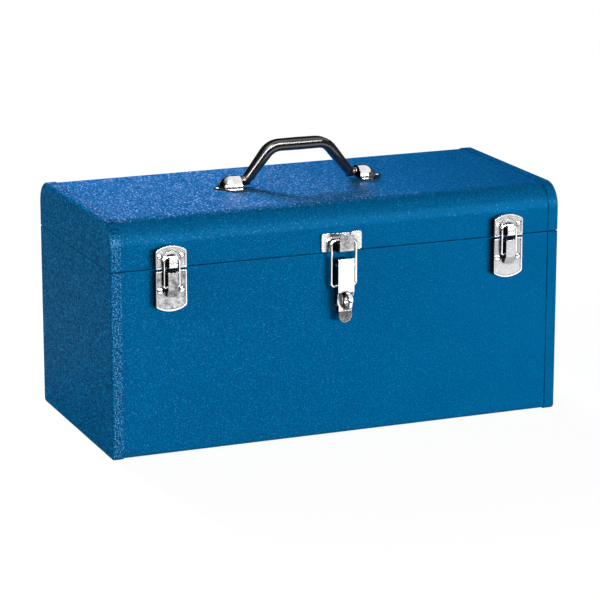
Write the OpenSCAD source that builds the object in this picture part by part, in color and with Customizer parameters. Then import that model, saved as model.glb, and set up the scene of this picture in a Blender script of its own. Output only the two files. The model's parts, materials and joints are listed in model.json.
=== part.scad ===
// Portable steel tool box with a carrying handle, two draw latches, a padlock hasp,
// a full-length hinge and a lift-out tote tray.
// X runs along the width, -Y is the front, Z is up.
// The origin is the middle of the footprint, on the floor.

/* [Box] */
// Width over the two end caps
box_w = 511; // [400:1:620]
// Depth over the end-cap flanges
box_d = 240; // [200:1:300]
// Height of the base, from the floor to its rim
base_h = 200.2; // [180:0.1:260]
// Height of the lid, from its rim to its top
lid_h = 51.2; // [48:0.1:80]
// Gap between the two rims when the lid is shut
seam_gap = 0.6; // [0.4:0.1:1.2]

/* [Sheet metal] */
// Thickness of the steel sheet
sheet_t = 0.9; // [0.7:0.1:1.2]
// Outer radius of the bend between an end cap's web and its flange
bend_r = 2.5; // [2:0.1:4]
// Width of the end-cap flanges, from the web's outer face
flange_w = 12; // [9:0.5:18]
// Radius of the base's bottom corners
foot_r = 5; // [4.5:0.5:10]
// Radius of the lid's top corners
lid_r = 25; // [15:1:32]
// Height of the folded hem along each rim
hem_h = 9; // [6:0.5:12]
// Gap left between pieces that are welded or riveted together
seat_gap = 0.1; // [0.05:0.01:0.2]

/* [Piano hinge] */
// Diameter of the hinge pin
hinge_pin_d = 2.4; // [2:0.1:3]
// Radial running clearance of every hinge pin and pivot
run_clear = 0.06; // [0.03:0.01:0.1]
// Outer diameter of the hinge knuckles
knuckle_d = 5; // [4.6:0.1:7]
// Number of knuckles along the hinge
knuckle_n = 19; // [9:2:25]
// Gap between neighbouring knuckles
knuckle_gap = 0.5; // [0.3:0.1:1]
// Thickness of the hinge leaves
leaf_t = 1; // [0.8:0.1:1.4]
// Height of each leaf, from the pin's axis
leaf_h = 17; // [12:0.5:22]
// Gap between each end of the hinge and the end-cap flange
hinge_end_gap = 2; // [1:0.5:6]
// Number of rivets along each leaf
hinge_rivet_n = 9; // [5:1:12]

/* [Side latches] */
// Distance of each latch's middle from the end of the box
latch_inset = 63.5; // [40:0.5:90]
// Width of the latch plates
latch_w = 34; // [32:0.5:40]
// How far the plates' faces stand off the wall
latch_depth = 7.2; // [6:0.1:9]
// Thickness of the latch plates
latch_t = 1; // [0.8:0.1:1.2]
// Drop of the lower plate below the seam
latch_low = 44; // [43:0.5:50]
// Rise of the upper plate above the seam
latch_high = 25; // [24:0.5:28]
// Rise of the arc at the end of each plate
latch_arc = 5.5; // [4:0.5:8]
// Radius of the plates' rounded shoulders
latch_corner = 3; // [2:0.5:5]
// Width of the raised rim round each plate
rim_w = 1.5; // [1:0.1:2]
// Height of that rim
rim_h = 0.5; // [0.3:0.1:0.6]
// Gap between each plate and the seam
latch_seam_gap = 1.2; // [0.8:0.1:2]
// Width of the lever
lever_w = 11; // [10:0.5:13]
// Thickness of the lever's sheet
lever_t = 1; // [0.8:0.1:1.2]
// Distance from the plate's face to the lever's front
lever_depth = 7.4; // [7:0.1:8]
// Drop of the lever's pivot below the seam
lever_pivot_drop = 3.5; // [3.4:0.1:4.5]
// Distance of the lever's pivot from the plate's face
lever_pivot_out = 3.6; // [3.5:0.1:4]
// Diameter of the lever's pivot pin
lever_pin_d = 2.2; // [1.8:0.1:2.6]
// Distance from the lever's pivot down to the bail's pivot
bail_arm = 14.5; // [13:0.5:16]
// Diameter of the bail's wire
bail_d = 2.4; // [2:0.1:2.6]
// Distance between the centre lines of the bail's legs
bail_w = 16.6; // [15.8:0.1:17.4]
// Rise of the bail's bar above the seam
bail_bar_rise = 13.5; // [13:0.1:14.5]
// Width of the hook that the bail pulls on
hook_w = 9; // [7:0.5:10]

/* [Hasp] */
// Half width of the catch, over its two ears
catch_half_w = 22.8; // [20:0.1:26]
// Height of the catch plate
catch_h = 19.8; // [19:0.1:22]
// Thickness of the hasp's plates
hasp_t = 1.5; // [1.2:0.1:2]
// Width of the lever and of the hook
hasp_w = 18.2; // [17.4:0.1:19]
// Thickness of the lever's sheet
hasp_lever_t = 1.2; // [1:0.1:1.5]
// How far the lever's front stands off the wall
hasp_depth = 15.2; // [14.8:0.1:16]
// Drop of the lever's pivot below the seam
hasp_pivot_drop = 12; // [11.6:0.1:12.5]
// Distance of the lever's pivot from the wall
hasp_pivot_out = 9.2; // [9:0.1:9.6]
// Diameter of the lever's pivot pin
hasp_pin_d = 3.2; // [2.6:0.1:3.6]
// Distance from the lever's pivot down to the bail's pivot
hasp_arm = 23.2; // [23:0.1:25]
// Diameter of the bail's wire
hasp_bail_d = 3; // [2.6:0.1:3.2]
// Distance between the centre lines of the bail's legs
hasp_bail_w = 27.6; // [27:0.1:29]
// Rise of the bail's bar above the seam
hasp_bar_rise = 13.5; // [13:0.1:14.5]
// Thickness of the padlock staple
staple_t = 3; // [2:0.1:3]
// Height of the staple
staple_h = 18.4; // [18:0.2:20]
// How far the staple stands out from the wall
staple_reach = 27.8; // [26:0.2:28]
// Diameter of the hole for the padlock's shackle
staple_hole_d = 10.4; // [9:0.2:11]
// Drop of the padlock hole below the seam
staple_drop = 50; // [49:0.5:51]

/* [Carrying handle] */
// Distance between the inner faces of the two handle loops
loop_span = 138; // [120:1:160]
// Outer radius of the loops
loop_r = 13.6; // [12.5:0.1:16]
// Thickness of the loops' sheet
loop_t = 1.2; // [1:0.1:1.6]
// Radius of the handle's pivot pins
handle_pin_r = 4.6; // [4:0.1:4.8]
// Height of the grip's outer face above the pivot axis
grip_rise = 42.5; // [38:0.5:60]
// Length of the straight top of the grip
grip_flat = 43; // [30:1:44]
// Radius of the grip's shoulders
grip_shoulder_r = 21; // [18:1:26]
// Thickness of the grip
grip_t = 12.5; // [9.5:0.5:13]
// Thickness of the grip at its ends
grip_end_t = 9; // [8:0.5:9]
// Depth of the grip at its middle
grip_d = 20; // [16:0.5:22]
// Depth of the grip at its ends
grip_end_d = 12.5; // [11:0.5:16]

/* [Rivets] */
// Diameter of the rivet shanks
rivet_d = 3.2; // [2.6:0.1:3.4]
// Diameter of the small rivet heads
rivet_head_d = 5; // [4.6:0.1:5.6]
// Diameter of the heads on the upper latch plates
rivet_mid_d = 5.8; // [5.2:0.1:6]
// Height of the flattest heads
rivet_flat_h = 0.9; // [0.7:0.1:1.2]
// Height of the heads on the upper latch plates and the hasp
rivet_mid_h = 1.4; // [1:0.1:1.6]
// Height of the heads on the lower latch plates
rivet_big_h = 1.8; // [1.2:0.1:2]
// Diameter of the large rivet heads on the lower latch plates
rivet_big_d = 7.8; // [6.4:0.1:8]
// Radial clearance of each rivet in its hole
rivet_clear = 0.1; // [0.05:0.01:0.2]

/* [Tote tray] */
// Height of the shelf that carries the tray
shelf_z = 150; // [120:1:160]
// Width of that shelf
shelf_w = 14; // [10:0.5:20]
// Thickness of the shelf brackets
shelf_t = 1.2; // [1:0.1:2]
// Height of the tray
tray_h = 44; // [36:1:46]
// Gap between the tray and each end wall
tray_end_gap = 5; // [3.5:0.5:8]
// Gap between the tray and the front and back walls
tray_side_gap = 9; // [6:0.5:14]
// Radius of the tray's corners
tray_r = 8; // [4:0.5:14]
// Distance of each cross divider from the middle of the tray
divider_x = 120; // [90:1:150]
// Diameter of the rod of the tray's handle
tray_rod_d = 5; // [4:0.5:6]
// Width of the tray's handle between its leg centres
tray_handle_w = 110; // [90:1:130]
// Length of the handle's legs
tray_handle_h = 30; // [26:0.5:31]

/* [Hidden] */
$fn = 48;

// Planes of the box
half_w = box_w / 2;
half_d = box_d / 2;
lid_rim_z = base_h + seam_gap;
seam_z = base_h + seam_gap / 2;
top_z = lid_rim_z + lid_h;
// The wrapped sheet lies inside the flanges by one thickness and one seat gap
face_in = sheet_t + seat_gap;
wall_in = face_in + sheet_t;
front_y = -(half_d - face_in);
back_y = half_d - face_in;
lid_face_z = top_z - face_in;
wrap_len = box_w - 2 * bend_r;

// Hinge
knuckle_r = knuckle_d / 2;
hinge_bore_r = hinge_pin_d / 2 + run_clear;
hinge_stand = 0.3;
hinge_y = back_y + seat_gap + hinge_stand + knuckle_r;
hinge_len = box_w - 2 * (flange_w + hinge_end_gap);
knuckle_pitch = hinge_len / knuckle_n;
notch_r = knuckle_r + 0.6;
hinge_rivet_edge = 4;

// Side latches
latch_x = half_w - latch_inset;
bail_r = bail_d / 2;
latch_face = latch_depth;
lever_front = latch_face + lever_depth;
lever_pivot_e = latch_face + lever_pivot_out;
lever_pivot_z = seam_z - lever_pivot_drop;
bail_pivot_e = lever_pivot_e - 1;
bail_pivot_z = lever_pivot_z - bail_arm;
bail_bar_z = seam_z + bail_bar_rise;
hook_seat_z = bail_bar_z - bail_r - 0.3;
hook_tip_z = hook_seat_z + 2.2;
hook_in = bail_pivot_e + bail_r + 3.3;
ear_t = 1;
ear_r = 2.6;
side_clear = 0.3;
arch_r = 10;
arch_w = 3;
arch_z = 9.5;
arch_h = 0.9;
rivet_low_x = latch_w / 2 - rim_w - rivet_big_d / 2 - 0.2;
rivet_low_z = seam_z - 21.8;
rivet_high_x = latch_w / 2 - rim_w - rivet_mid_d / 2 - 0.5;
rivet_high_z = seam_z + 14.3;

// Hasp
hasp_r = hasp_w / 2;
hasp_bail_r = hasp_bail_d / 2;
hasp_pivot_z = seam_z - hasp_pivot_drop;
hasp_bail_e = hasp_pivot_out - 1.4;
hasp_bail_z = hasp_pivot_z - hasp_arm;
hasp_bar_z = seam_z + hasp_bar_rise;
hasp_seat_z = hasp_bar_z - hasp_bail_r - 0.2;
hasp_hook_gap = 2;
hasp_hook_z = seam_z + hasp_hook_gap;
hasp_tip_rise = 9;
hasp_tip_z = hasp_seat_z + hasp_tip_rise;
hasp_hook_out = 7.5;
hasp_hook_front = hasp_bail_e + hasp_bail_r + hasp_hook_out;
hasp_plate_half = 10;
hasp_foot_half = 7.5;
hasp_foot_drop = 7;
hasp_plate_drop = 69;
hasp_plate_low = seam_z - hasp_plate_drop;
hasp_plate_gap = 10;
hasp_plate_high = seam_z - hasp_plate_gap;
hasp_ear_r = 3.2;
hasp_rivet_inset = 5;
staple_z = seam_z - staple_drop;
staple_r = staple_h / 2;
staple_e = staple_reach - staple_r;
slot_gap = 0.7;
slot_low_gap = 2;
lever_step_z = hasp_bail_z - 5.8;
lever_flat = 12.3;
lever_top_z = seam_z - 5.2;
lever_back = 2.6;
paddle_r = 9.2;
paddle_back = 5.5;
paddle_z = staple_z - 1;
tab_r = 7.4;
tab_z = staple_z - 16.3;
tab_out = 1.2;
ear_out = 10.3;

// Handle
loop_x = loop_span / 2;
loop_len = 8;
loop_base_t = 1.5;
handle_axis_z = lid_face_z + loop_base_t + 0.7 + handle_pin_r;
bearing_x = loop_x + 2;
wing_x = loop_x + 14;
wing_y = loop_r + 6;
petal_x = loop_x + 6;
petal_y = loop_r + 3;
tip_x = loop_x + loop_len + loop_r + 7;
tip_rivet_x = loop_x + loop_len + loop_r + 2.8;

// Tray
tray_len = box_w - 2 * (sheet_t + tray_end_gap);
tray_dep = box_d - 2 * (wall_in + tray_side_gap);
tray_z = shelf_z + 0.2;
tray_rim_h = 6;
spine_h = tray_h - tray_rim_h;
divider_drop = 8;
tray_rod_r = tray_rod_d / 2;
lug_z = tray_z + tray_h - 6.5;
lug_r = 2.8;
lug_t = 2;
tray_rod_y = -(sheet_t / 2 + tray_rod_r + 0.5);
tray_stub_r = 1.5;

// ---------- Shared shapes ----------

// Rectangle that stands on y = 0 with its two lower corners rounded
module tub(w, h, r) {
    translate([-w / 2, r]) square([w, h - r]);
    translate([-w / 2 + r, 0]) square([w - 2 * r, r]);
    for (s = [-1, 1]) translate([s * (w / 2 - r), r]) circle(r);
}

// Section of a folded hem: outer face on x = 0, rim on y = 0
module hem_section() {
    translate([0, -hem_h]) square([2 * sheet_t, hem_h - sheet_t]);
    translate([sheet_t, -sheet_t]) circle(sheet_t);
}

// Section of an end cap's edge: u runs in from the flange's face, v in from the web's face
module edge_section() {
    translate([bend_r, bend_r]) intersection() {
        difference() {
            circle(bend_r);
            circle(bend_r - sheet_t);
        }
        translate([-bend_r, -bend_r]) square(bend_r);
    }
    translate([0, bend_r]) square([sheet_t, flange_w - bend_r]);
}

// A straight length of that edge, running down from y = 0
module edge_run(len) {
    rotate([90, 0, 0]) linear_extrude(len) edge_section();
}

// End cap with its closed side on y = 0 and its hemmed rim on y = h, web on z = 0
module end_cap(h, r) {
    linear_extrude(sheet_t) translate([0, bend_r])
        tub(box_d - 2 * bend_r, h - bend_r - sheet_t, r - bend_r);
    for (s = [0, 1]) mirror([s, 0, 0]) {
        translate([-half_d, h - sheet_t, 0]) edge_run(h - sheet_t - r);
        translate([-(half_d - r), r, 0]) rotate([0, 0, 180])
            rotate_extrude(angle = 90) translate([r, 0]) mirror([1, 0]) edge_section();
    }
    translate([-(half_d - r), 0, 0]) rotate([0, 0, 90]) edge_run(box_d - 2 * r);
    translate([0, h, 0]) rotate([0, -90, 0])
        linear_extrude(box_d - 2 * bend_r, center = true) hem_section();
}

// Section of the sheet that wraps the front, the closed side and the back
module wrap_section(h, r) {
    difference() {
        translate([0, face_in]) tub(box_d - 2 * face_in, h - face_in - sheet_t, r - face_in);
        translate([0, wall_in]) tub(box_d - 2 * wall_in, h, r - wall_in);
    }
    for (s = [0, 1]) mirror([s, 0]) translate([front_y, h]) hem_section();
}

// Turns a section drawn in (Y, Z) into a solid along X
module along_x(len) {
    rotate([90, 0, 90]) linear_extrude(len, center = true) children();
}

// Places an end cap drawn as above: world Y from x, world Z from y, inwards from z
module at_left_end() {
    translate([-half_w, 0, 0]) rotate([90, 0, 90]) children();
}
module at_right_end() {
    mirror([1, 0, 0]) at_left_end() children();
}

// Turns the base's closed-side-down shape into the lid's closed-side-up shape
module as_lid() {
    translate([0, 0, top_z]) mirror([0, 0, 1]) children();
}

// Side view on the front wall: x is the distance out from the wall, y is the height
module side_view(w) {
    translate([0, front_y, 0]) mirror([0, 1, 0]) along_x(w) children();
}

// Front view on the front wall, from distance e0 to distance e1 out from it
module front_view(e0, e1) {
    translate([0, front_y - e0, 0]) rotate([90, 0, 0]) linear_extrude(e1 - e0) children();
}

// Cylinder along X, at distance e out from the front wall
module cross_rod(e, z, r, len) {
    translate([0, front_y - e, z]) rotate([0, 90, 0]) cylinder(r = r, h = len, center = true);
}

// Domed rivet on z = 0, with its shank down through the grip and its set tail below
module rivet(head_d, head_h, grip) {
    dome_r = (head_d * head_d / 4 + head_h * head_h) / (2 * head_h);
    tail_d = rivet_d + 2;
    rotate_extrude() {
        intersection() {
            translate([0, head_h - dome_r]) circle(dome_r);
            square([head_d / 2, head_h]);
        }
        translate([0, -grip - 1]) square([rivet_d / 2, grip + 1]);
        translate([0, -grip - 1.2]) square([tail_d / 2, 1.2]);
    }
}

// Hole for that rivet's shank
module rivet_hole(grip) {
    translate([0, 0, -grip - 3]) cylinder(d = rivet_d + 2 * rivet_clear, h = grip + 6);
}

// Quarter turn of wire, from the +X direction to the +Y direction, about the origin
module wire_bend(bend, r) {
    rotate_extrude(angle = 90) translate([bend, 0]) circle(r);
}

// Wire bail in the plane z = 0: pivot stubs on y = 0, bar at y = len
module bail(half_w, len, r, low_bend, top_bend, stub_in) {
    for (s = [0, 1]) mirror([s, 0, 0]) {
        translate([stub_in, 0, 0]) rotate([0, 90, 0]) cylinder(r = r, h = half_w - low_bend - stub_in);
        translate([half_w - low_bend, low_bend, 0]) rotate([0, 0, -90]) wire_bend(low_bend, r);
        translate([half_w, low_bend, 0]) rotate([-90, 0, 0])
            cylinder(r = r, h = len - low_bend - top_bend);
        translate([half_w - top_bend, len - top_bend, 0]) wire_bend(top_bend, r);
    }
    translate([-(half_w - top_bend), len, 0]) rotate([0, 90, 0])
        cylinder(r = r, h = 2 * (half_w - top_bend));
}

// Side view of a pressed hook: a channel open at its top, with its front corner rounded
module hook_outer(e0, e1, z0, z1, r) {
    translate([e0, z0]) square([e1 - e0 - r, z1 - z0]);
    translate([e0, z0 + r]) square([e1 - e0, z1 - z0 - r]);
    translate([e1 - r, z0 + r]) circle(r);
}

// Rectangle from z0 to z1 with its two upper corners rounded
module arched(w, z0, z1, r) {
    translate([-w / 2, z0]) square([w, z1 - z0 - r]);
    translate([-w / 2 + r, z0]) square([w - 2 * r, z1 - z0]);
    for (s = [-1, 1]) translate([s * (w / 2 - r), z1 - r]) circle(r);
}

// Hook with a tall front lip and two side webs, on whose tops the bail's bar sits
module hook(w, e0, front, t, z0, seat_z, tip_z, r, tip_r) {
    intersection() {
        side_view(w) difference() {
            hook_outer(e0, front, z0, tip_z, r);
            hook_outer(e0 - 1, front - t, z0 + t, tip_z + 1, r - t);
        }
        front_view(0, front + 1) arched(w, z0 - 1, tip_z, tip_r);
    }
    for (s = [-1, 1]) translate([s * (w - t) / 2, 0, 0]) side_view(t)
        hook_outer(e0, front, z0, seat_z, r);
}

// ---------- Base ----------

module base_wrap() color("#1463a8") difference() {
    along_x(wrap_len) wrap_section(base_h, foot_r);
    at_latches() base_rivet_places() rivet_hole(latch_depth);
    hasp_rivet_places() rivet_hole(hasp_t);
    hinge_rivet_places(-1) rivet_hole(leaf_t);
}

module base_end_left() color("#17588f") at_left_end() end_cap(base_h, foot_r);

module base_end_right() color("#1463a8") at_right_end() end_cap(base_h, foot_r);

// Angle bracket welded to the end wall; the tray rests on its shelf
module tray_shelf() {
    leg = 18;
    translate([-half_w + sheet_t + seat_gap, 0, shelf_z]) rotate([90, 0, 0])
        linear_extrude(tray_dep * 0.8, center = true) {
            translate([0, -shelf_t]) square([shelf_w, shelf_t]);
            translate([0, -leg]) square([shelf_t, leg]);
        }
}
module tray_shelf_left() color("#3f4347") tray_shelf();
module tray_shelf_right() color("#3f4347") mirror([1, 0, 0]) tray_shelf();

// ---------- Piano hinge ----------

// Knuckles of one leaf; parity picks every other one
module knuckle_row(parity, r, extra) {
    for (i = [parity : 2 : knuckle_n - 1])
        translate([-hinge_len / 2 + (i + 0.5) * knuckle_pitch, hinge_y, seam_z])
            rotate([0, 90, 0]) cylinder(r = r, h = knuckle_pitch - knuckle_gap + extra, center = true);
}

// Slots that let the other leaf's knuckles through
module knuckle_notches(parity) {
    for (i = [parity : 2 : knuckle_n - 1])
        translate([-hinge_len / 2 + i * knuckle_pitch - knuckle_gap / 2, back_y, seam_z - notch_r])
            cube([knuckle_pitch + knuckle_gap, leaf_t + 1, 2 * notch_r]);
}

module hinge_leaf(parity, z0) {
    difference() {
        union() {
            difference() {
                translate([-hinge_len / 2, back_y + seat_gap, z0])
                    cube([hinge_len, leaf_t, leaf_h - seam_gap / 2]);
                knuckle_notches(1 - parity);
                // The last gap of each own knuckle is cleared as well
                for (i = [parity : 2 : knuckle_n - 1], s = [-1, 1])
                    translate([
                        -hinge_len / 2 + (i + 0.5 + s / 2) * knuckle_pitch, back_y + leaf_t, seam_z
                    ])
                        cube([knuckle_gap, 4 * leaf_t, 2 * notch_r], center = true);
            }
            knuckle_row(parity, knuckle_r, 0);
        }
        translate([0, hinge_y, seam_z]) rotate([0, 90, 0])
            cylinder(r = hinge_bore_r, h = hinge_len + 2, center = true);
        hinge_rivet_places(parity > 0 ? 1 : -1) rivet_hole(leaf_t);
    }
}
module hinge_leaf_base() color("#b9bdc2") hinge_leaf(0, seam_z - leaf_h);
module hinge_leaf_lid() color("#b9bdc2") hinge_leaf(1, seam_z + seam_gap / 2);

module hinge_pin() color("#9a9ea3") translate([0, hinge_y, seam_z]) rotate([0, 90, 0])
    cylinder(d = hinge_pin_d, h = hinge_len, center = true);

// Rivets through one leaf and the wall behind it; dir is 1 on the lid, -1 on the base
module hinge_rivet_places(dir) {
    for (i = [0 : hinge_rivet_n - 1])
        translate([
            (i - (hinge_rivet_n - 1) / 2) * hinge_len / hinge_rivet_n,
            back_y + seat_gap + leaf_t,
            seam_z + dir * (leaf_h - hinge_rivet_edge)
        ]) rotate([-90, 0, 0]) children();
}
module hinge_rivets_base() color("#c9ccd0") hinge_rivet_places(-1)
    rivet(rivet_head_d, rivet_flat_h, leaf_t + seat_gap + sheet_t);
module hinge_rivets_lid() color("#c9ccd0") hinge_rivet_places(1)
    rivet(rivet_head_d, rivet_flat_h, leaf_t + seat_gap + sheet_t);

// ---------- Side latches ----------

module at_latches() {
    for (s = [-1, 1]) translate([s * latch_x, 0, 0]) children();
}

module base_rivet_places() {
    for (s = [-1, 1]) translate([s * rivet_low_x, front_y - latch_depth, rivet_low_z])
        rotate([90, 0, 0]) children();
}

module lid_rivet_places() {
    for (s = [-1, 1]) translate([s * rivet_high_x, front_y - latch_depth, rivet_high_z])
        rotate([90, 0, 0]) children();
}

// Plate outline with one arched end, inset by i; dir is 1 for the upper plate, -1 for the lower
module latch_outline(reach, dir, i) {
    half = latch_w / 2 - i;
    corner = latch_corner - i;
    arc_r = (latch_w * latch_w / 4 + latch_arc * latch_arc) / (2 * latch_arc) - i;
    arc_z = reach - i - arc_r;
    shoulder_z = arc_z + sqrt(pow(arc_r - corner, 2) - pow(half - corner, 2));
    tangent_x = arc_r * (half - corner) / (arc_r - corner);
    mirror([0, dir > 0 ? 0 : 1]) {
        translate([-half, latch_seam_gap + i]) square([2 * half, shoulder_z - latch_seam_gap - i]);
        for (s = [-1, 1]) translate([s * (half - corner), shoulder_z]) circle(corner);
        intersection() {
            translate([0, arc_z]) circle(arc_r, $fn = 96);
            translate([-tangent_x, latch_seam_gap + i]) square([2 * tangent_x, reach]);
        }
    }
}

// Pan-shaped plate with a raised rim, open towards the wall
module latch_pan(reach, dir) {
    translate([0, 0, seam_z]) difference() {
        front_view(0.1, latch_depth + rim_h) latch_outline(reach, dir, 0);
        front_view(latch_depth, latch_depth + 1) latch_outline(reach, dir, rim_w);
        front_view(-1, latch_depth - latch_t) latch_outline(reach, dir, latch_t);
    }
}

// Lower plate: two ears carry the lever's pin
module latch_plate() {
    ear_x = lever_w / 2 - lever_t - side_clear - ear_t / 2;
    difference() {
        union() {
            latch_pan(latch_low, -1);
            for (s = [-1, 1]) translate([s * ear_x, 0, 0]) side_view(ear_t) {
                translate([latch_face - latch_t, lever_pivot_z - ear_r])
                    square([lever_pivot_out + latch_t, 1.7 * ear_r]);
                translate([lever_pivot_e, lever_pivot_z]) circle(ear_r);
            }
        }
        cross_rod(lever_pivot_e, lever_pivot_z, lever_pin_d / 2 + run_clear, latch_w);
        base_rivet_places() rivet_hole(latch_depth);
    }
}
module latch_plate_left() color("#c9ccd0") translate([-latch_x, 0, 0]) latch_plate();
module latch_plate_right() color("#c9ccd0") translate([latch_x, 0, 0]) latch_plate();

module latch_pin() {
    cross_rod(lever_pivot_e, lever_pivot_z, lever_pin_d / 2, lever_w);
}
module latch_pin_left() color("#9a9ea3") translate([-latch_x, 0, 0]) latch_pin();
module latch_pin_right() color("#9a9ea3") translate([latch_x, 0, 0]) latch_pin();

// Pressed lever: a channel with a closed, sloping lower end
module latch_lever() {
    low_z = seam_z - 20.2;
    end_z = seam_z - 28;
    back_e = latch_face + 0.5;
    difference() {
        side_view(lever_w) {
            polygon([
                [back_e, end_z], [back_e + 1.5, end_z], [lever_front, low_z],
                [lever_front, lever_pivot_z + 1.4], [lever_pivot_e + 1.6, lever_pivot_z + ear_r],
                [lever_pivot_e, lever_pivot_z + ear_r], [lever_pivot_e - ear_r, lever_pivot_z],
                [back_e, lever_pivot_z - 5]
            ]);
            translate([lever_pivot_e, lever_pivot_z]) circle(ear_r);
        }
        side_view(lever_w - 2 * lever_t) polygon([
            [-1, end_z + lever_t], [back_e + 1, end_z + lever_t],
            [lever_front - lever_t, low_z + 0.5], [lever_front - lever_t, lever_pivot_z + 9],
            [-1, lever_pivot_z + 9]
        ]);
        cross_rod(lever_pivot_e, lever_pivot_z, lever_pin_d / 2 + run_clear, latch_w);
        cross_rod(bail_pivot_e, bail_pivot_z, bail_r + run_clear, latch_w);
    }
}
module latch_lever_left() color("#d4d7da") translate([-latch_x, 0, 0]) latch_lever();
module latch_lever_right() color("#d4d7da") translate([latch_x, 0, 0]) latch_lever();

module latch_bail() {
    translate([0, front_y - bail_pivot_e, bail_pivot_z]) rotate([90, 0, 0])
        bail(bail_w / 2, bail_bar_z - bail_pivot_z, bail_r, 2, 5, lever_w / 2 - lever_t - 0.6);
}
module latch_bail_left() color("#dfe1e3") translate([-latch_x, 0, 0]) latch_bail();
module latch_bail_right() color("#dfe1e3") translate([latch_x, 0, 0]) latch_bail();

// Upper plate with the hook that the bail pulls on
module latch_catch() {
    difference() {
        union() {
            latch_pan(latch_high, 1);
            hook(hook_w, latch_face - 0.5, hook_in + latch_t, latch_t, seam_z + 2.2,
                hook_seat_z, hook_tip_z, 3, 2.5);
            // Thicker foot of the hook's lip
            side_view(hook_w) translate([hook_in + latch_t - 0.2, seam_z + 5.2]) square([0.8, 2.6]);
            // Raised arch round the top of the bail
            front_view(latch_face - 0.5, latch_face + arch_h) translate([0, seam_z]) intersection() {
                translate([0, arch_z]) difference() {
                    circle(arch_r);
                    circle(arch_r - arch_w);
                }
                translate([-arch_r, arch_z - 2]) square([2 * arch_r, arch_r + 3]);
            }
        }
        lid_rivet_places() rivet_hole(latch_depth);
    }
}
module latch_catch_left() color("#c9ccd0") translate([-latch_x, 0, 0]) latch_catch();
module latch_catch_right() color("#c9ccd0") translate([latch_x, 0, 0]) latch_catch();

module base_rivets() color("#e4e6e8") at_latches() base_rivet_places()
    rivet(rivet_big_d, rivet_big_h, latch_depth + sheet_t);
module lid_rivets() color("#e4e6e8") at_latches() lid_rivet_places()
    rivet(rivet_mid_d, rivet_mid_h, latch_depth + sheet_t);

// ---------- Hasp ----------

module hasp_rivet_places() {
    for (z = [hasp_bail_z + 6, hasp_plate_low + hasp_rivet_inset]) translate([0, front_y - hasp_t, z])
        rotate([90, 0, 0]) children();
}

// Plate on the base, with two ears for the lever's pin
module hasp_plate() color("#c9ccd0") {
    ear_x = hasp_r - hasp_lever_t - side_clear - hasp_t / 2;
    difference() {
        union() {
            front_view(0.1, hasp_t) {
                translate([-hasp_foot_half, hasp_plate_low + hasp_foot_half])
                    square([2 * hasp_foot_half, hasp_plate_high - hasp_plate_low - hasp_foot_half]);
                translate([0, hasp_plate_low + hasp_foot_half]) circle(hasp_foot_half);
                polygon([
                    [-hasp_plate_half, hasp_plate_high], [hasp_plate_half, hasp_plate_high],
                    [hasp_plate_half, hasp_bail_z], [hasp_foot_half, hasp_bail_z - hasp_foot_drop],
                    [-hasp_foot_half, hasp_bail_z - hasp_foot_drop], [-hasp_plate_half, hasp_bail_z]
                ]);
            }
            for (s = [-1, 1]) translate([s * ear_x, 0, 0]) side_view(hasp_t) {
                polygon([
                    [hasp_t / 2, hasp_pivot_z - 9], [hasp_pivot_out, hasp_pivot_z - hasp_ear_r],
                    [hasp_pivot_out, hasp_pivot_z + hasp_ear_r],
                    [hasp_pivot_out - 1.5, hasp_pivot_z + 2.8], [hasp_t / 2, hasp_pivot_z - 0.5]
                ]);
                translate([hasp_pivot_out, hasp_pivot_z]) circle(hasp_ear_r);
            }
        }
        cross_rod(hasp_pivot_out, hasp_pivot_z, hasp_pin_d / 2 + run_clear, 40);
        hasp_rivet_places() rivet_hole(hasp_t);
        front_view(-1, hasp_t + 1) translate([-staple_t / 2 - 0.05, staple_z - 5])
            square([staple_t + 0.1, 10]);
    }
}

// Padlock eye: a flat plate that stands out through the lever's slot
module hasp_staple() color("#d4d7da") side_view(staple_t) difference() {
    union() {
        translate([staple_e, staple_z]) circle(staple_r);
        translate([hasp_t, staple_z - staple_r]) square([staple_e - hasp_t, staple_h]);
        translate([0.1, staple_z - 4.9]) square([hasp_t, 9.8]);
    }
    translate([staple_e, staple_z]) circle(staple_hole_d / 2);
}

module hasp_pin() color("#9a9ea3") cross_rod(hasp_pivot_out, hasp_pivot_z, hasp_pin_d / 2, hasp_w);

// Side outline of the lever's sheet, from its top edge down to its finger tab
module lever_strip(front, t) {
    step = front - lever_flat;
    bend_z = tab_z + 4.5;
    polygon([
        [front, lever_top_z], [front, lever_step_z], [front - step, lever_step_z - step],
        [front - step, bend_z], [front - step + tab_out, tab_z - tab_r],
        [front - step + tab_out - t, tab_z - tab_r], [front - step - t, bend_z + t / 3],
        [front - step - t, lever_step_z - step + t / 2], [front - t, lever_step_z + t / 2],
        [front - t, lever_top_z]
    ]);
    // Two beads across the top
    for (z = [lever_top_z - 0.9, lever_top_z - 7]) translate([front - 0.5, z]) circle(0.9);
}

// Front outline of the lever: straight head, oval paddle and rounded tab
module lever_front_outline() {
    translate([-hasp_r, lever_step_z - 1]) square([hasp_w, lever_top_z - lever_step_z + 1.5]);
    polygon([
        [-hasp_r, lever_step_z], [hasp_r, lever_step_z],
        [tab_r, lever_step_z - 6], [-tab_r, lever_step_z - 6]
    ]);
    translate([0, paddle_z]) circle(paddle_r);
    translate([-tab_r, tab_z]) square([2 * tab_r, lever_step_z - tab_z - 3]);
    translate([0, tab_z]) circle(tab_r);
}

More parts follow.
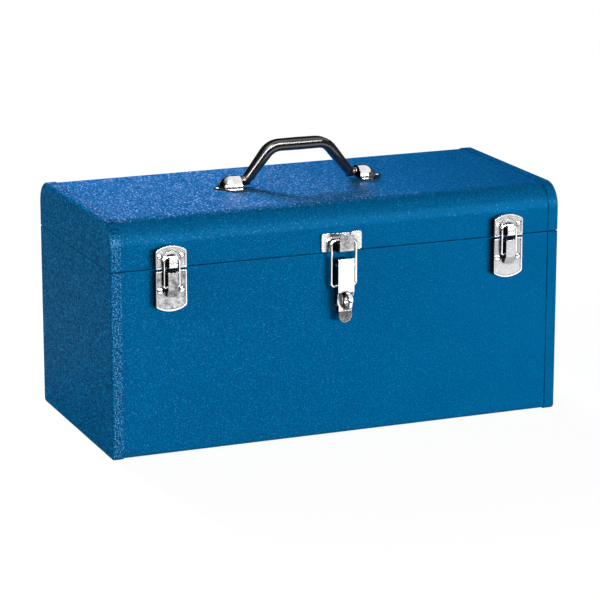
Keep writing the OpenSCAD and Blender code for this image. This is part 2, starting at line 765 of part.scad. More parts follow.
module hasp_lever() color("#dcdee0") difference() {
    union() {
        intersection() {
            side_view(hasp_w + 6) lever_strip(hasp_depth, hasp_lever_t);
            front_view(0, hasp_depth + 2) lever_front_outline();
        }
        for (s = [-1, 1]) translate([s * (hasp_r - hasp_lever_t / 2), 0, 0]) side_view(hasp_lever_t)
            polygon([
                [hasp_depth, lever_top_z], [hasp_depth, lever_step_z], [lever_flat, lever_step_z - 5],
                [lever_back + 1, lever_step_z - 2], [lever_back, hasp_bail_z + 4],
                [lever_back, hasp_pivot_z + 2], [lever_back + 4.6, lever_top_z]
            ]);
        // Turned-back edges of the paddle
        front_view(paddle_back, lever_flat - 0.2) intersection() {
            translate([0, paddle_z]) difference() {
                circle(paddle_r);
                circle(paddle_r - hasp_lever_t);
            }
            translate([-paddle_r, paddle_z - 5.5]) square([2 * paddle_r, lever_step_z - paddle_z + 3.5]);
        }
    }
    cross_rod(hasp_pivot_out, hasp_pivot_z, hasp_pin_d / 2 + run_clear, 40);
    cross_rod(hasp_bail_e, hasp_bail_z, hasp_bail_r + run_clear, 40);
    // Slot that the padlock eye comes out through
    front_view(-1, hasp_depth + 3)
        translate([-staple_t / 2 - slot_gap, staple_z - staple_r - slot_low_gap])
            square([staple_t + 2 * slot_gap, staple_h + slot_gap + slot_low_gap]);
}

module hasp_bail() color("#dfe1e3") translate([0, front_y - hasp_bail_e, hasp_bail_z])
    rotate([90, 0, 0]) bail(hasp_bail_w / 2, hasp_bar_z - hasp_bail_z, hasp_bail_r, 4, 4.5,
        hasp_r - hasp_lever_t - 0.8);

// Catch on the lid: two raised ears and a tall pressed hook with flared feet
module hasp_catch() color("#c9ccd0") {
    ear_w = catch_half_w - ear_out;
    flare = 3;
    low_z = seam_z + 1.2;
    front_view(0.1, hasp_t - 0.3) translate([-catch_half_w + 1, low_z + 1])
        square([2 * catch_half_w - 2, catch_h - 2]);
    for (s = [-1, 1]) front_view(0.1, hasp_t + 0.7)
        translate([s * (catch_half_w - ear_w / 2), low_z + catch_h / 2]) round_rect(ear_w, catch_h, 2.5);
    hook(hasp_w - 2, 0.6, hasp_hook_front, hasp_lever_t, hasp_hook_z, hasp_seat_z, hasp_tip_z, 4, 1.5);
    // Concave feet where the hook's sides sweep out of the plate
    for (s = [0, 1]) mirror([s, 0, 0]) translate([hasp_r - 1, front_y - hasp_t + 0.4, hasp_hook_z])
        linear_extrude(hasp_seat_z - hasp_hook_z) difference() {
            translate([-0.2, -flare]) square([flare, flare]);
            translate([flare, -flare]) circle(flare);
        }
}

module hasp_rivets() color("#e4e6e8") hasp_rivet_places()
    rivet(rivet_head_d, rivet_mid_h, hasp_t + sheet_t);

// ---------- Lid ----------

module lid_wrap() color("#1767b0") difference() {
    as_lid() along_x(wrap_len) wrap_section(lid_h, lid_r);
    at_latches() lid_rivet_places() rivet_hole(latch_depth);
    at_loops() loop_rivet_places() rivet_hole(loop_base_t);
    hinge_rivet_places(1) rivet_hole(leaf_t);
}

module lid_end_left() color("#17588f") as_lid() at_left_end() end_cap(lid_h, lid_r);
module lid_end_right() color("#1463a8") as_lid() at_right_end() end_cap(lid_h, lid_r);

// ---------- Carrying handle ----------

module at_loops() {
    for (s = [0, 1]) mirror([s, 0, 0]) children();
}

module loop_rivet_places() {
    for (p = [[petal_x, petal_y], [petal_x, -petal_y], [tip_rivet_x, 0]])
        translate([p[0], p[1], lid_face_z + loop_base_t]) children();
}

// Half round hood, domed at its outer end
module loop_dome(r) {
    translate([loop_x, 0, lid_face_z]) rotate([0, 90, 0]) cylinder(r = r, h = loop_len);
    translate([loop_x + loop_len, 0, lid_face_z]) sphere(r);
}

// Stamped loop on the right; the handle's pin turns inside its hood
module handle_loop() {
    difference() {
        union() {
            translate([0, 0, lid_face_z + 0.1]) linear_extrude(loop_base_t - 0.1) {
                translate([loop_x + 2, -wing_y + 2]) square([wing_x - loop_x - 4, 2 * wing_y - 4]);
                for (x = [loop_x + 2, wing_x - 2], s = [-1, 1])
                    translate([x, s * (wing_y - 2)]) circle(2);
                translate([loop_x, -wing_y + 2]) square([wing_x - loop_x, 2 * wing_y - 4]);
                translate([loop_x + 2, -wing_y]) square([wing_x - loop_x - 4, 2 * wing_y]);
                polygon([
                    [wing_x - 1, wing_y - 0.3], [tip_x - 1.2, 1.8], [tip_x - 1.2, -1.8],
                    [wing_x - 1, -wing_y + 0.3]
                ]);
                translate([tip_x - 2, 0]) circle(2);
            }
            intersection() {
                loop_dome(loop_r);
                translate([loop_x, -50, lid_face_z + 0.1]) cube([100, 100, 100]);
            }
        }
        difference() {
            intersection() {
                loop_dome(loop_r - loop_t);
                translate([loop_x, -50, lid_face_z + loop_base_t]) cube([100, 100, 100]);
            }
            // Wall across the hood, with the round hole that the handle's pin turns in
            translate([bearing_x, -50, lid_face_z]) cube([loop_t, 100, 100]);
        }
        translate([bearing_x - 0.01, 0, handle_axis_z]) rotate([0, 90, 0])
            cylinder(r = handle_pin_r + run_clear, h = loop_t + 0.02);
        loop_rivet_places() rivet_hole(loop_base_t);
    }
}
module handle_loop_right() color("#d8dadd") handle_loop();
module handle_loop_left() color("#d8dadd") mirror([1, 0, 0]) handle_loop();

module loop_rivets() color("#e4e6e8") at_loops() loop_rivet_places()
    rivet(rivet_head_d, rivet_flat_h, loop_base_t + sheet_t);

// Grip centre line: a straight top, on each side an arc into a steep leg and a short foot
leg_angle = 52;
grip_mid = grip_rise - grip_t / 2;
grip_end_x = loop_x - 3;

// Points [x, z, slope angle] down one half of the grip, from its middle
function shoulder(a) = [
    grip_flat / 2 + grip_shoulder_r * sin(a), grip_mid - grip_shoulder_r * (1 - cos(a)), a
];
function leg(k) = let (p = shoulder(leg_angle), q = [grip_end_x - 9.5, 5])
    [p[0] + k * (q[0] - p[0]), p[1] + k * (q[1] - p[1]), leg_angle];
function grip_half() = concat(
    [[0, grip_mid, 0]],
    [for (k = [0 : 6]) shoulder(leg_angle * k / 6)],
    [leg(0.5), leg(1)],
    [[grip_end_x - 5.5, 1, leg_angle * 0.7]]
);

// Rounded section across the grip at [x, z, slope], n points
function grip_depth(x) =
    grip_end_d + (grip_d - grip_end_d) * pow(cos(90 * min(1, abs(x) / grip_end_x)), 1.2);
function grip_thick(x) = grip_t - (grip_t - grip_end_t) * pow(min(1, abs(x) / grip_end_x), 2);
function soft(v, p) = sign(v) * pow(abs(v), p);
function grip_ring(p, side, n = 24) = [for (i = [0 : n - 1]) let (
        a = 360 * i / n,
        across = grip_depth(p[0]) / 2 * soft(cos(a), 0.55),
        thick = grip_thick(p[0]) / 2 * soft(sin(a), 0.6)
    ) [side * (p[0] + thick * sin(p[2])), across, p[1] + thick * cos(p[2])]];

// Skin through a list of rings with the same number of points
module skin(rings) {
    n = len(rings[0]);
    m = len(rings);
    polyhedron(
        points = [for (r = rings) for (q = r) q],
        faces = concat(
            [[for (i = [0 : n - 1]) i]],
            [[for (i = [n - 1 : -1 : 0]) (m - 1) * n + i]],
            [for (j = [0 : m - 2], i = [0 : n - 1])
                [j * n + i, (j + 1) * n + i, (j + 1) * n + (i + 1) % n]],
            [for (j = [0 : m - 2], i = [0 : n - 1])
                [j * n + i, (j + 1) * n + (i + 1) % n, j * n + (i + 1) % n]]
        )
    );
}

module handle_grip() color("#1c1c1d") difference() {
    union() {
        half = grip_half();
        last = len(half) - 1;
        left = [for (i = [last : -1 : 1]) grip_ring(half[i], -1)];
        right = [for (p = half) grip_ring(p, 1)];
        translate([0, 0, handle_axis_z]) skin(concat(left, right));
        for (s = [-1, 1]) translate([s * (grip_end_x - 4), 0, handle_axis_z])
            rotate([0, 90, 0]) cylinder(r = handle_pin_r + 0.6, h = 9, center = true);
    }
    for (s = [-1, 1]) translate([s * (grip_end_x - 1), 0, handle_axis_z])
        rotate([0, 90, 0]) cylinder(r = handle_pin_r - 1.4, h = 12, center = true);
}

// Steel end pin: a shouldered stub that turns in its loop
module handle_pin() translate([0, 0, handle_axis_z]) rotate([0, 90, 0]) {
    translate([0, 0, grip_end_x - 6.9]) cylinder(r = handle_pin_r - 1.45, h = 8);
    translate([0, 0, grip_end_x + 0.6]) cylinder(r = handle_pin_r, h = loop_len + 3);
}
module handle_pin_right() color("#c9ccd0") handle_pin();
module handle_pin_left() color("#c9ccd0") mirror([1, 0, 0]) handle_pin();

// ---------- Tote tray ----------

// Rectangle with four round corners, centred
module round_rect(w, d, r) {
    square([w - 2 * r, d], center = true);
    square([w, d - 2 * r], center = true);
    for (x = [-1, 1], y = [-1, 1]) translate([x * (w / 2 - r), y * (d / 2 - r)]) circle(r);
}

module tray_pan() color("#3f6f9e") translate([0, 0, tray_z]) difference() {
    union() {
        linear_extrude(tray_h)
            round_rect(tray_len - 2 * sheet_t, tray_dep - 2 * sheet_t, tray_r - sheet_t);
        // Folded rim
        translate([0, 0, tray_h - tray_rim_h]) linear_extrude(tray_rim_h)
            round_rect(tray_len, tray_dep, tray_r);
    }
    translate([0, 0, sheet_t]) linear_extrude(tray_h)
        round_rect(tray_len - 4 * sheet_t, tray_dep - 4 * sheet_t, tray_r - 2 * sheet_t);
}

// Lengthwise wall that divides the tray and carries its handle's lugs
module tray_spine() color("#3f6f9e") {
    span = tray_len - 4 * sheet_t - 2 * seat_gap;
    translate([-span / 2, -sheet_t / 2, tray_z + sheet_t + seat_gap]) cube([span, sheet_t, spine_h]);
}

// Two lugs on the front of the spine, in which the tray's handle turns
module tray_lugs() color("#8e9296") {
    base_y = -sheet_t / 2 - seat_gap;
    for (s = [-1, 1]) difference() {
        translate([s * (tray_handle_w / 2 - tray_rod_r - 2.5), 0, lug_z]) rotate([0, 90, 0]) {
            translate([0, tray_rod_y, 0]) cylinder(r = lug_r, h = lug_t, center = true);
            translate([0, (tray_rod_y + base_y) / 2, 0])
                cube([2 * lug_r, base_y - tray_rod_y, lug_t], center = true);
        }
        translate([0, tray_rod_y, lug_z]) rotate([0, 90, 0])
            cylinder(r = tray_stub_r + run_clear, h = tray_handle_w, center = true);
    }
}
// Cross wall behind the spine
module tray_divider() {
    y0 = sheet_t / 2 + seat_gap;
    y1 = tray_dep / 2 - 2 * sheet_t - seat_gap;
    translate([divider_x - sheet_t / 2, y0, tray_z + sheet_t + seat_gap])
        cube([sheet_t, y1 - y0, spine_h - divider_drop]);
}
module tray_divider_rear() color("#3f6f9e") tray_divider();
module tray_divider_front() color("#3f6f9e") rotate([0, 0, 180]) tray_divider();

// Rod handle, hanging down beside the spine
module tray_handle() color("#c9ccd0") translate([0, tray_rod_y, lug_z]) rotate([-90, 0, 0])
    tray_bail();
module tray_bail() {
    half = tray_handle_w / 2;
    bend = 8;
    for (s = [0, 1]) mirror([s, 0, 0]) {
        translate([half - tray_rod_r - 4.5, 0, 0]) rotate([0, 90, 0])
            cylinder(r = tray_stub_r, h = tray_rod_r + 5);
        translate([half, 0, 0]) sphere(tray_rod_r);
        translate([half, 0, 0]) rotate([-90, 0, 0]) cylinder(r = tray_rod_r, h = tray_handle_h - bend);
        translate([half - bend, tray_handle_h - bend, 0]) wire_bend(bend, tray_rod_r);
    }
    translate([-(half - bend), tray_handle_h, 0]) rotate([0, 90, 0])
        cylinder(r = tray_rod_r, h = 2 * (half - bend));
}

// ---------- Nodes ----------

base_wrap();
base_end_left();
base_end_right();
tray_shelf_left();
tray_shelf_right();
hinge_leaf_base();
hinge_pin();
hinge_leaf_lid();
hinge_rivets_base();
hinge_rivets_lid();
latch_plate_left();
latch_plate_right();
latch_pin_left();
latch_pin_right();
latch_lever_left();
latch_lever_right();
latch_bail_left();
latch_bail_right();
latch_catch_left();
latch_catch_right();
base_rivets();
lid_rivets();
hasp_plate();
hasp_staple();
hasp_pin();
hasp_lever();
hasp_bail();
hasp_catch();
hasp_rivets();
lid_wrap();
lid_end_left();
lid_end_right();
handle_loop_left();
handle_loop_right();
loop_rivets();
handle_grip();
handle_pin_left();
handle_pin_right();
tray_pan();
tray_spine();
tray_lugs();
tray_divider_front();
tray_divider_rear();
tray_handle();
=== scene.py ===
"""Looks, light and camera for the portable steel tool box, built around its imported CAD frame."""
import json
import math

import bpy
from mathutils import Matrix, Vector

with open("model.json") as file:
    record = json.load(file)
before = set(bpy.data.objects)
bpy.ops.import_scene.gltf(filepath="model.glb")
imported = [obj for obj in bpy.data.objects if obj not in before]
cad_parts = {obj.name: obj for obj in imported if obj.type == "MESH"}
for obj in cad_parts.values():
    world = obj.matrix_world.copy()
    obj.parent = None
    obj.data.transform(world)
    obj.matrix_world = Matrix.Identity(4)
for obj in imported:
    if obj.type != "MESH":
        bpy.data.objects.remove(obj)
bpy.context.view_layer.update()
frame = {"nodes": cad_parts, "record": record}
nodes = frame["nodes"]

# ---------------------------------------------------------------- camera

CAMERA_AZIMUTH = -22.27        # degrees, 0 looks along +Y
CAMERA_ELEVATION = 14.55       # degrees above the floor
CAMERA_DISTANCE = 3.077        # metres from the target
CAMERA_TARGET = Vector((0.0024, 0.0, 0.1188))
FOCAL_PIXELS = 2807            # focal length in pixels of a 600 pixel frame
FRAME_PIXELS = 600
SENSOR_WIDTH = 36              # millimetres
CLIP_END = 50                  # metres, past the floor's far edge


def direction(azimuth, elevation):
    """Unit vector from the object towards a viewer or lamp at that bearing."""
    az, el = math.radians(azimuth), math.radians(elevation)
    return Vector((math.sin(az) * math.cos(el), -math.cos(az) * math.cos(el), math.sin(el)))


def aim(obj, target):
    """Turns a camera or lamp so that it looks at the target."""
    obj.rotation_euler = (target - obj.location).to_track_quat("-Z", "Y").to_euler()


def make_camera():
    """A standing viewer's camera, without roll, shift or depth of field."""
    data = bpy.data.cameras.new("camera")
    data.sensor_width = SENSOR_WIDTH
    data.lens = FOCAL_PIXELS / FRAME_PIXELS * SENSOR_WIDTH
    data.clip_end = CLIP_END
    camera = bpy.data.objects.new("camera", data)
    bpy.context.scene.collection.objects.link(camera)
    camera.location = CAMERA_TARGET + CAMERA_DISTANCE * direction(CAMERA_AZIMUTH, CAMERA_ELEVATION)
    aim(camera, CAMERA_TARGET)
    bpy.context.scene.camera = camera


# ---------------------------------------------------------------- node helpers

class Graph:
    """A short way to write a material's or the world's node graph."""

    def __init__(self, owner):
        owner.use_nodes = True
        self.tree = owner.node_tree
        self.tree.nodes.clear()

    def add(self, kind, links=None, **settings):
        """Adds a node; a setting named like an input fills it, any other sets the node itself."""
        node = self.tree.nodes.new("ShaderNode" + kind)
        for name, value in settings.items():
            setattr(node, name, value)
        for name, value in (links or {}).items():
            socket = node.inputs[name]
            if isinstance(value, bpy.types.NodeSocket):
                self.tree.links.new(value, socket)
            else:
                socket.default_value = value
        return node

    def noise(self, where, scale, detail=2.0, roughness=0.5):
        """Cloudy noise from 0 to 1; scale is in cells to the metre."""
        return self.add("TexNoise", {"Vector": where, "Scale": scale, "Detail": detail,
                                     "Roughness": roughness}).outputs["Fac"]

    def ramp(self, fac, stops):
        """Colour ramp through (position, colour) stops."""
        node = self.add("ValToRGB", {"Fac": fac})
        ramp = node.color_ramp
        while len(ramp.elements) < len(stops):
            ramp.elements.new(0.5)
        for element, (position, colour) in zip(ramp.elements, stops):
            element.position = position
            element.color = (*colour, 1)
        return node.outputs["Color"]

    def level(self, fac, low, high, to_low=0.0, to_high=1.0):
        """Maps fac from low..high to to_low..to_high, clamped."""
        return self.add("MapRange", {"Value": fac, "From Min": low, "From Max": high,
                                     "To Min": to_low, "To Max": to_high}).outputs["Result"]

    def mix(self, fac, a, b):
        """Colour a where fac is 0, colour b where it is 1."""
        node = self.add("Mix", data_type="RGBA")
        for socket, value in ((node.inputs["Factor"], fac), (node.inputs[6], a), (node.inputs[7], b)):
            if isinstance(value, bpy.types.NodeSocket):
                self.tree.links.new(value, socket)
            elif isinstance(value, tuple):
                socket.default_value = (*value, 1)
            else:
                socket.default_value = value
        return node.outputs[2]

    def bump(self, height, strength, distance, normal=None):
        """Normal of a skin whose height swings by distance metres."""
        links = {"Height": height, "Strength": strength, "Distance": distance}
        if normal is not None:
            links["Normal"] = normal
        return self.add("Bump", links).outputs["Normal"]

    def corner_shade(self, reach):
        """Painted shade in corners: 0 deep in a corner, 1 in the open."""
        open_share = self.add("AmbientOcclusion", {"Distance": reach}, samples=6).outputs["AO"]
        return self.level(open_share, 0.5, 0.93)

    def math(self, operation, *values):
        """Plain arithmetic on two or three values."""
        return self.add("Math", dict(enumerate(values)), operation=operation).outputs[0]

    def part_axes(self, vector):
        """The X, Y and Z of a vector, by name."""
        return self.add("SeparateXYZ", {"Vector": vector}).outputs

    def blend(self, fac, first, second):
        """First shader where fac is 0, second where it is 1."""
        node = self.add("MixShader", {"Fac": fac})
        self.tree.links.new(first.outputs[0], node.inputs[1])
        self.tree.links.new(second.outputs[0], node.inputs[2])
        return node

    def place(self):
        """Object coordinates: metres in the part's own frame."""
        return self.add("TexCoord").outputs["Object"]

    def surface(self, **inputs):
        """Principled surface; keyword names are the shader's inputs with _ for a space."""
        shader = self.add("BsdfPrincipled", {k.replace("_", " "): v for k, v in inputs.items()})
        self.add("OutputMaterial", {"Surface": shader.outputs["BSDF"]})


def new_graph(name):
    """A new material with an empty node graph."""
    material = bpy.data.materials.new(name)
    return material, Graph(material)


def linear(red, green, blue):
    """sRGB 0-255 to the linear values that shaders take."""
    def one(v):
        v /= 255
        return v / 12.92 if v <= 0.04045 else ((v + 0.055) / 1.055) ** 2.4
    return (one(red), one(green), one(blue))


# ---------------------------------------------------------------- materials

WALL_Y = -0.119                # front face of the box's wall, metres
RIM_OUT = 0.00745              # the latch plates' raised rims stand out past this and keep a painted highlight, all bright
EDGE_ROLL = 0.0011             # how far a pressed edge's rolled corner reaches
# dark brown painted shade on edges and rims turned to the left
LEFT_SHADE_TONE = (0.02, 0.014, 0.01)
# colour of the painted shade in corners and crevices
CORNER_SHADE_TONE = (0.02, 0.02, 0.022)
CORNER_SHADE_REACH = 0.014          # metres over which painted shade darkens a corner
EDGE_RADIUS = 0.0004           # of a sheared edge, metres
GRIP_RADIUS = 0.003            # of the grip's moulded corners, metres
LEFT_RIM_SHADE = (0.0008, 0.0013)   # painted shade covers the left rim up to the first, and is gone past the second
PEBBLE_SCALE = 620.0           # noise scales are in cells to the metre
FLECK_SCALE = 640.0
CREST_SCALE = 600.0
PATCH_SCALE = 26.0
MARK_SCALE = 330.0             # scratches of the plating
CLOUD_SCALE = 150.0            # its dull clouds
DRAWING_SCALE = 900.0          # lines along drawn wire
PAINTED_SHEEN = 2.5                    # painted sheen: how light the paint turns where the lid curls over
CALM_X = (-0.05, 0.2)          # the front's grain, with its painted shade and highlights, starts to calm at the first X, and is calmest past the second
PAINT_IOR = 1.06               # the wrinkled skin breaks up nearly all of its gloss
ENAMEL_IOR = 1.5
GRIP_IOR = 1.85                # lacquered, so glossier than bare plastic


def wrinkle_paint(name, deep, front_glint_share):
    """Fine wrinkle enamel: a pebbled skin, painted shade in its hollows and a painted highlight on its
    crests.

    Deep is the colour of that painted shade and of faint random blotches. The last argument adds painted
    glints to the crests of the front face, a little more towards the left; more painted glints fleck the
    faces turned up, fewer to the right, and a painted sheen lies where the lid curls over. The front face's
    grain, with its painted shade and highlights, grows calm towards the right.
    """
    # Light is the colour of the painted highlight on the crests and of the painted sheen on the curl
    body, light = linear(0, 104, 158), linear(20, 134, 196)
    # Colours of the painted glints on the front face and on the faces turned up
    front_glint_colour, top_glint_colour = linear(105, 175, 232), linear(180, 200, 250)
    material, g = new_graph(name)
    where = g.place()
    drawn_out = g.add("VectorMath", {0: where, 1: (1.0, 0.45, 1.0)}, operation="MULTIPLY").outputs["Vector"]
    pebble = g.noise(drawn_out, PEBBLE_SCALE, 3.0, 0.62)
    patch = g.noise(where, PATCH_SCALE, 3.0, 0.6)
    facing = g.part_axes(g.add("NewGeometry").outputs["Normal"])
    along = g.part_axes(where)["X"]

    # The front face's painted shade and highlights, and its bump, calm towards the right
    calm = g.level(facing["Y"], -1.0, -0.8, g.level(along, *CALM_X), 0.0)
    pebble_low, pebble_high = g.level(calm, 0.0, 1.0, 0.0, 0.4), g.level(calm, 0.0, 1.0, 1.0, 0.75)
    # Painted shade in the pebbles' hollows, then a painted highlight on their crests; the patch noise after
    # is faint random blotches
    tone = g.mix(g.level(pebble, 0.32, 0.66, pebble_low, pebble_high), deep, body)
    tone = g.mix(g.level(pebble, 0.58, 0.72, 0.0, g.level(calm, 0.0, 1.0, 1.0, 0.4)), tone, light)
    tone = g.mix(g.level(patch, 0.3, 0.7, 0.0, 0.10), tone, deep)

    # Painted sheen where the lid curls over and the faces turn a little upwards
    rising, falling = g.level(facing["Z"], 0.0, 0.12, 0.0, 0.08), g.level(facing["Z"], 0.3, 0.5, 1.0, 0.0)
    curl_sheen = g.math("MULTIPLY", rising, falling)
    tone = g.mix(g.math("MULTIPLY", curl_sheen, PAINTED_SHEEN), tone, light)

    # Painted glints on the front face's crests, more towards the left and along the curl
    near = g.level(along, -0.25, 0.1, front_glint_share + 0.05, front_glint_share)
    crest = g.math("ADD", g.noise(where, CREST_SCALE), curl_sheen)
    crest = g.math("ADD", crest, g.level(facing["Y"], -1.0, -0.6, near, 0.0))
    tone = g.mix(g.level(crest, 0.76, 1.0), tone, front_glint_colour)

    # Painted glints flecking the faces turned up, fewer towards the right
    top_glints = g.math("SUBTRACT", g.noise(drawn_out, FLECK_SCALE), g.level(along, 0.0, 0.2, 0.0, 0.12))
    tone = g.mix(g.level(top_glints, 0.57, 0.72, 0.0, g.level(facing["Z"], 0.9, 0.99)), tone, top_glint_colour)

    skin = g.bump(pebble, g.level(calm, 0.0, 1.0, 0.9, 0.5), 0.0011)
    g.surface(Base_Color=tone, Roughness=g.level(pebble, 0.3, 0.7, 0.46, 0.3), Normal=skin, IOR=PAINT_IOR)
    return material


def plated_steel(name, bright, dull, roughness, mottle=0.0, relief=0.12, rim=None, floor=0.0,
                 bright_inside=False, left_shade=0.0, left_edge=None):
    """Bright plating over pressed steel: edges rounded, painted shade in the crevices, more or less mottled.

    The mottle's dull clouds are partly worn plating and partly painted grey reflection. Metal standing out
    past rim metres in front of the box's wall is all bright, a painted highlight, or, with bright_inside, the
    metal behind that plane is. The second last argument is how much dark brown painted shade the edges rolled
    to the left get, and left_edge is the X at which a rim starts that gets that painted shade too.
    """
    material, g = new_graph(name)
    where = g.place()
    marks = g.noise(where, MARK_SCALE, 4.0, 0.65)
    cloud = g.noise(where, CLOUD_SCALE, 3.0, 0.6)
    # Dull clouds: partly worn plating, partly painted grey reflection
    share = g.level(cloud, 0.36, 0.66, floor, mottle)
    # Painted highlight: metal standing out past the rim stays all bright; with bright_inside it is the metal
    # behind that stays bright, and the metal in front gets the painted grey reflection
    if rim is not None:
        depth = g.part_axes(where)["Y"]
        inner = g.level(depth, WALL_Y - rim - 0.0001, WALL_Y - rim, bright_inside, not bright_inside)
        share = g.math("MULTIPLY", share, inner)
    tone = g.mix(share, bright, dull)
    # Painted shade darkens the corners and crevices
    tone = g.mix(g.corner_shade(CORNER_SHADE_REACH), CORNER_SHADE_TONE, tone)
    # Painted shade on the edges that roll over to the left
    if left_shade:
        rolled = g.add("Bevel", {"Radius": EDGE_ROLL}, samples=6).outputs["Normal"]
        turned = g.part_axes(rolled)["X"]
        tone = g.mix(g.level(turned, -0.75, -0.3, left_shade, 0.0), tone, LEFT_SHADE_TONE)
    # Painted shade on the rim along the piece's left end
    if left_edge is not None:
        dark_end, unshaded_from = (left_edge + reach for reach in LEFT_RIM_SHADE)
        tone = g.mix(g.level(g.part_axes(where)["X"], dark_end, unshaded_from, left_shade, 0.0), tone, LEFT_SHADE_TONE)
    rough = g.level(marks, 0.3, 0.75, roughness * 0.7, roughness * 1.5)
    edge = g.add("Bevel", {"Radius": EDGE_RADIUS}, samples=4).outputs["Normal"]
    g.surface(Base_Color=tone, Metallic=1.0, Roughness=rough, Normal=g.bump(marks, relief, 0.0005, edge))
    return material


def drawn_steel(name, colour, roughness):
    """Wire and pins, with fine drawing lines."""
    material, g = new_graph(name)
    where = g.place()
    lines = g.noise(where, DRAWING_SCALE)
    g.surface(Base_Color=g.mix(g.level(lines, 0.4, 0.7, 0, 0.25), colour, tuple(c * 0.7 for c in colour)),
              Metallic=1.0, Roughness=roughness, Normal=g.bump(lines, 0.08, 0.0002))
    return material


def moulded_black(name):
    """Glossy black moulded grip with a faint flow pattern."""
    material, g = new_graph(name)
    where = g.place()
    flow = g.noise(where, 45.0, 3.0, 0.5)
    fine = g.noise(where, 1400.0)
    tone = g.mix(flow, linear(12, 12, 13), linear(22, 22, 24))
    rounded = g.add("Bevel", {"Radius": GRIP_RADIUS}, samples=8).outputs["Normal"]
    g.surface(Base_Color=tone, Roughness=g.level(fine, 0.3, 0.7, 0.06, 0.1),
              Normal=g.bump(fine, 0.012, 0.0002, rounded), IOR=GRIP_IOR)
    return material


def sheet_enamel(name, body, deep):
    """Smooth enamel of the tray, worn a little along its length."""
    material, g = new_graph(name)
    where = g.place()
    peel = g.noise(where, 320.0)
    scuff = g.noise(where, 30.0, 5.0, 0.7)
    tone = g.mix(g.level(scuff, 0.45, 0.8, 0.0, 0.35), body, deep)
    g.surface(Base_Color=tone, Roughness=g.level(scuff, 0.3, 0.8, 0.3, 0.5),
              Normal=g.bump(peel, 0.15, 0.0004), IOR=ENAMEL_IOR)
    return material


LEFT_SHADE_SHARE = 0.95                 # share of dark brown painted shade on the left edges
# Dull tones of the plating: partly worn plating and partly the painted grey reflections of each piece
SILVER = (0.95, 0.95, 0.96)
DULL = (0.12, 0.122, 0.13)
CALM = (0.3, 0.3, 0.31)
LIGHT = (0.4, 0.4, 0.41)


def slot_finishes():
    """One finish for each of the part's material slots."""
    return {
        "blue_paint": wrinkle_paint("blue_wrinkle_paint", linear(0, 78, 124), 0.06),
        "tray_paint": sheet_enamel("tray_enamel", linear(24, 98, 160), linear(12, 66, 116)),
        "zinc_plate": plated_steel("zinc_plate", (0.62, 0.64, 0.66), (0.42, 0.43, 0.45), 0.34, 0.5),
        "soft_plate": plated_steel("calm_lever", SILVER, CALM, 0.22, 0.62, 0.15, floor=0.5, left_shade=LEFT_SHADE_SHARE),
        "bright_plate": plated_steel("bright_plate", SILVER, (0.55, 0.56, 0.58), 0.13, 0.35, left_shade=LEFT_SHADE_SHARE),
        "bright_wire": drawn_steel("bright_wire", (0.93, 0.93, 0.94), 0.12),
        "steel_pin": drawn_steel("steel_pin", (0.5, 0.51, 0.53), 0.3),
        "rivet": plated_steel("rivet_steel", (0.95, 0.95, 0.95), (0.7, 0.7, 0.7), 0.2),
        "black_plastic": moulded_black("black_grip"),
    }


def node_finishes():
    """Finishes of the nodes that look unlike the rest of their slot."""
    # The end caps' copy of the paint: darker painted shade in its hollows and more painted glints on the
    # front flange
    cap_paint = wrinkle_paint("blue_cap_paint", linear(0, 46, 84), 0.21)
    # The lever, catch and latch pieces get their own copies of the plating, whose dull tones paint the grey
    # reflections each piece shows: the left latch plate is painted darker than the right one, and the hasp
    # catch's hood darker than its ears
    own = {
        "base_end_left": cap_paint,
        "lid_end_left": cap_paint,
        "latch_lever_left": plated_steel("lever_plate", (0.90, 0.90, 0.91), DULL, 0.22, 0.95, 0.2, floor=0.45,
                                         left_shade=LEFT_SHADE_SHARE),
        "hasp_catch": plated_steel("catch_plate", SILVER, (0.2, 0.2, 0.21), 0.2, 0.9, 0.2, 0.003, floor=0.5,
                                   bright_inside=True, left_shade=LEFT_SHADE_SHARE),
    }
    for node, dull, mottle, floor in (
            ("latch_plate_left", DULL, 0.9, 0.35), ("latch_plate_right", CALM, 0.62, 0.5),
            ("latch_catch_left", LIGHT, 0.7, 0.15), ("latch_catch_right", LIGHT, 0.7, 0.15)):
        left_edge = min(vertex.co.x for vertex in nodes[node].data.vertices)
        own[node] = plated_steel(node + "_steel", SILVER, dull, 0.22, mottle, 0.2, RIM_OUT, floor,
                                 left_shade=LEFT_SHADE_SHARE, left_edge=left_edge)
    return own


def dress():
    """Gives every CAD node its own finish, or else that of its slot."""
    by_slot, by_node = slot_finishes(), node_finishes()
    for part in frame["record"]["subparts"]:
        slots = nodes[part["node"]].data.materials
        slots.clear()
        slots.append(by_node.get(part["node"], by_slot[part["material_slot"]]))


# ---------------------------------------------------------------- floor and light

FLOOR_SIZE = 12.0              # metres
FLOOR_GREY = (0.5, 0.5, 0.5, 1)
SHADOW_SHARE = (0.1, 0.1, 0.1, 1)  # how much of the light and shade the camera sees on the floor
PATCH_GLOW = 1.5               # strength of the floor that the plated pieces reflect
DARK_GLOW = 0.05
REAR_SHARE = 0.3               # the floor behind the box, against the patch ahead of it
WHITE = (1.0, 1.0, 1.0)
OPAQUE_WHITE = (*WHITE, 1)


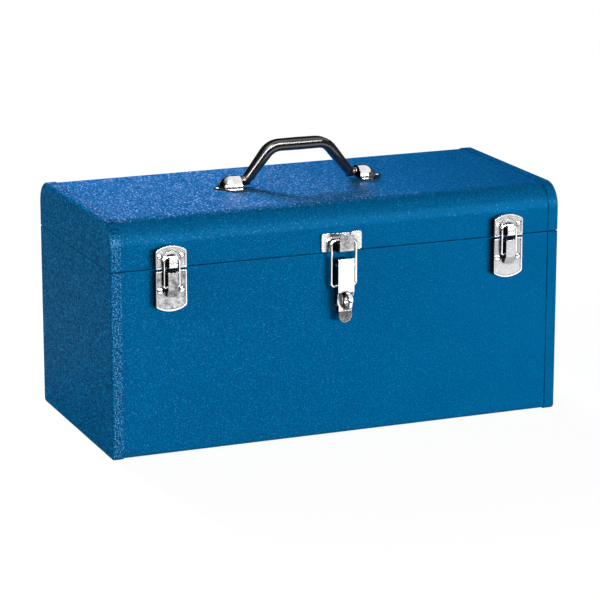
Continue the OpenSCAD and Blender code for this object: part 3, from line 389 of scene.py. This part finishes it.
def make_floor():
    """Pale floor: white to the camera, and for gloss a bright patch ahead of the box on a dark ground."""
    bpy.ops.mesh.primitive_plane_add(size=FLOOR_SIZE, location=(0, 0, 0))
    floor = bpy.context.object
    floor.name = "floor"
    material, g = new_graph("pale_floor")
    path = g.add("LightPath").outputs
    where = g.place()
    across = g.part_axes(where)

    # The patch reaches from the box to 1.2 m ahead of its centre, and on the left to 0.5 m from it
    left = g.level(across["X"], -0.5, -0.3)
    ahead, behind = g.level(across["Y"], -1.2, -1.0), g.level(across["Y"], -0.2, -0.1, 1.0, 0.0)
    patch = g.math("MULTIPLY", g.math("MULTIPLY", ahead, behind), left)
    rear = g.math("MULTIPLY", g.level(across["Y"], 0.1, 0.3), left)
    bright = g.math("MULTIPLY_ADD", rear, REAR_SHARE, patch)
    gloss = g.add("Emission", {"Color": OPAQUE_WHITE,
                               "Strength": g.level(bright, 0.0, 1.0, DARK_GLOW, PATCH_GLOW)})

    # The glow dims a little towards the box: painted shade that deepens the shadow around it
    radius = g.add("VectorMath", {0: where}, operation="LENGTH").outputs["Value"]
    glow = g.add("Emission", {"Color": OPAQUE_WHITE, "Strength": g.level(radius, 0.35, 0.9, 0.94, 0.99)})
    seen = g.add("AddShader")
    g.tree.links.new(g.add("BsdfDiffuse", {"Color": SHADOW_SHARE}).outputs[0], seen.inputs[0])
    g.tree.links.new(glow.outputs[0], seen.inputs[1])

    unseen = g.blend(path["Is Glossy Ray"], g.add("BsdfDiffuse", {"Color": FLOOR_GREY}), gloss)
    g.add("OutputMaterial", {"Surface": g.blend(path["Is Camera Ray"], unseen, seen).outputs[0]})
    floor.data.materials.append(material)


def make_world():
    """White to the camera, a studio with a bright top to gloss, and a faint fill to all else."""
    world = bpy.data.worlds.new("studio")
    bpy.context.scene.world = world
    g = Graph(world)
    path = g.add("LightPath").outputs
    axes = g.part_axes(g.add("TexCoord").outputs["Generated"])
    # The height of a direction: 0 is level and all below it, 1 is straight up
    studio = g.ramp(axes["Z"], [(0.0, (0.15, 0.15, 0.15)), (0.12, (0.18, 0.18, 0.18)),
                                (0.34, (0.18, 0.18, 0.19)), (0.42, (0.02, 0.02, 0.02)),
                                (0.50, (0.02, 0.02, 0.02)), (0.60, (1.1, 1.1, 1.1))])
    behind = g.math("MULTIPLY", g.level(axes["Y"], 0.1, 0.5), g.level(axes["Z"], 0.4, 0.5, 1.0, 0.0))
    gloss = g.add("Background", {"Color": g.mix(behind, studio, (0.02, 0.02, 0.02)), "Strength": 0.8})
    fill = g.add("Background", {"Color": OPAQUE_WHITE, "Strength": 0.16})
    white = g.add("Background", {"Color": OPAQUE_WHITE, "Strength": 1.0})
    unseen = g.blend(path["Is Glossy Ray"], fill, gloss)
    g.add("OutputWorld", {"Surface": g.blend(path["Is Camera Ray"], unseen, white).outputs[0]})


BOX_CENTRE = (0, 0, 0.13)
LID_LEFT = (-0.2, 0, 0.25)     # the left half of the lid's top


def make_lamp(name, azimuth, elevation, distance, size, power, target=BOX_CENTRE, colour=WHITE):
    """Area lamp of size (width, height) at a bearing and distance from its target."""
    data = bpy.data.lights.new(name, "AREA")
    data.energy = power
    data.color = colour
    data.shape = "RECTANGLE"
    data.size, data.size_y = size
    lamp = bpy.data.objects.new(name, data)
    bpy.context.scene.collection.objects.link(lamp)
    lamp.location = Vector(target) + distance * direction(azimuth, elevation)
    aim(lamp, Vector(target))
    return lamp


def make_lights():
    """Studio lamps: three light the paint, and two are there for the gloss alone."""
    make_world()
    # name, bearing and elevation in degrees, distance and size in metres, power in watts
    key = make_lamp("key_front", 26, 1, 4.0, (2.2, 0.8), 187)
    key.visible_glossy = False
    sweep = make_lamp("sweep_back", 180, 24, 2.2, (0.8, 0.8), 7.0, LID_LEFT, (0.84, 0.93, 1.2))
    sweep.visible_glossy = False
    sweep.data.spread = 0.6
    glint = make_lamp("top_left", -50, 68, 1.1, (0.5, 0.5), 8.5, LID_LEFT)
    glint.visible_diffuse = False
    strip = make_lamp("strip_high", -17, 34, 2.5, (5.0, 0.6), 240)
    strip.visible_diffuse = False
    make_lamp("side_left", -78, 20, 2.4, (0.8, 0.8), 26, colour=(1.0, 1.0, 0.86))


scene = bpy.context.scene
scene.view_settings.view_transform = "Standard"
make_camera()
make_floor()
make_lights()
dress()
